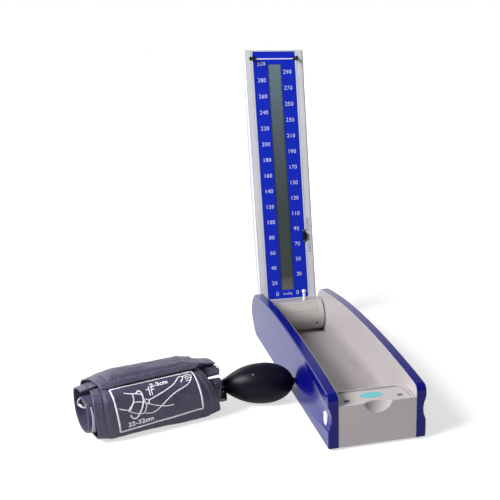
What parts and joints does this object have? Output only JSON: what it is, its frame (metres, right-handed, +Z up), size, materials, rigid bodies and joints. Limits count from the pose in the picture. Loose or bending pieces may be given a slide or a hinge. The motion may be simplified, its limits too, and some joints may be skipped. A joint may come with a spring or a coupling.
{
  "type": "desk blood pressure gauge",
  "caption": "Desk blood pressure gauge: a folding digital display column on a storage trough with release buttons, a latch tray, a rolled arm cuff and a rubber squeeze bulb.",
  "frame": {"origin": "middle of the front foot strip's underside, on the table", "axes": "+X to the reader's right, +Y from the case front back to the hinge, +Z up from the table"},
  "size_m": [0.3267, 0.4259, 0.3563],
  "materials": {
    "case grey": "satin",
    "panel blue": "polished",
    "foot rubber": "matte",
    "screw steel": "satin",
    "inlay teal": "glossy",
    "button white": "glossy",
    "slide plastic": "matte",
    "spring steel": "satin",
    "column grey": "satin",
    "scale blue": "satin",
    "window glass": "clear",
    "display dark": "matte",
    "board green": "matte",
    "hook black": "matte",
    "cell wrap": "glossy",
    "contact steel": "polished",
    "nozzle white": "glossy",
    "cuff nylon": "woven",
    "ring chrome": "polished",
    "tag white": "woven",
    "bulb rubber": "satin",
    "valve metal": "polished"
  },
  "bodies": {
    "case": {"case_tub": "case grey", "left_side_panel": "panel blue", "right_side_panel": "panel blue", "front_foot": "foot rubber", "rear_feet": "foot rubber", "bottom_cover": "slide plastic", "cover_screws": "screw steel", "hinge_pins": "screw steel", "tray_inlay": "inlay teal", "left_button_spring": "spring steel", "right_button_spring": "spring steel"},
    "column": {"column_back_shell": "column grey", "column_frame": "column grey", "scale_plate": "scale blue", "display_glass": "window glass", "display_module": "display dark", "display_board": "board green", "column_screws": "screw steel", "left_latch_hook": "hook black", "right_latch_hook": "hook black", "switch_body": "hook black", "hinge_barrel": "case grey", "left_barrel_cap": "case grey", "right_barrel_cap": "case grey", "battery_tray": "hook black", "upper_cell": "cell wrap", "lower_cell": "cell wrap", "battery_contacts": "contact steel", "air_nozzle": "nozzle white", "pressure_sensor": "hook black"},
    "mode_switch": {"switch_knob": "hook black"},
    "battery_cover": {"battery_cover": "case grey"},
    "left_button": {"left_release_button": "button white", "left_latch_slide": "slide plastic"},
    "right_button": {"right_release_button": "button white", "right_latch_slide": "slide plastic"},
    "cuff_set": {"cuff_outer_wrap": "cuff nylon", "cuff_inner_roll": "cuff nylon", "cuff_ring": "ring chrome", "cuff_tag": "tag white", "bulb": "bulb rubber", "bulb_inlet_valve": "bulb rubber", "valve_body": "valve metal"},
    "valve_knob": {"valve_knob": "hook black"}
  },
  "joints": [
    {"name": "column_hinge", "type": "hinge", "parent": "case", "child": "column", "pos_m": [0, 0.3295, 0.0254], "axis": [1, 0, 0], "range_deg": [0, 99.3]},
    {"name": "switch_slide", "type": "slide", "parent": "column", "child": "mode_switch", "axis": [0, 0.1616, 0.9869], "range_m": [-0.004, 0.004]},
    {"name": "battery_cover_lift", "type": "slide", "parent": "column", "child": "battery_cover", "axis": [0, -0.6845, 0.729], "range_m": [0, 0.0039]},
    {"name": "left_button_push", "type": "slide", "parent": "case", "child": "left_button", "axis": [1, 0, 0], "range_m": [0, 0.0024], "stiffness_N_per_m": 200, "deforming": ["left_button_spring"]},
    {"name": "right_button_push", "type": "slide", "parent": "case", "child": "right_button", "axis": [-1, 0, 0], "range_m": [0, 0.0024], "stiffness_N_per_m": 200, "deforming": ["right_button_spring"]},
    {"name": "cuff_lift", "type": "slide", "parent": "case", "child": "cuff_set", "axis": [0, 0, 1], "range_m": [0, 0.15]},
    {"name": "valve_turn", "type": "hinge", "parent": "cuff_set", "child": "valve_knob", "pos_m": [-0.12773, 0.13011, 0.0218], "axis": [-0.1006, -0.6349, -0.766], "range_deg": [0, 360]}
  ]
}
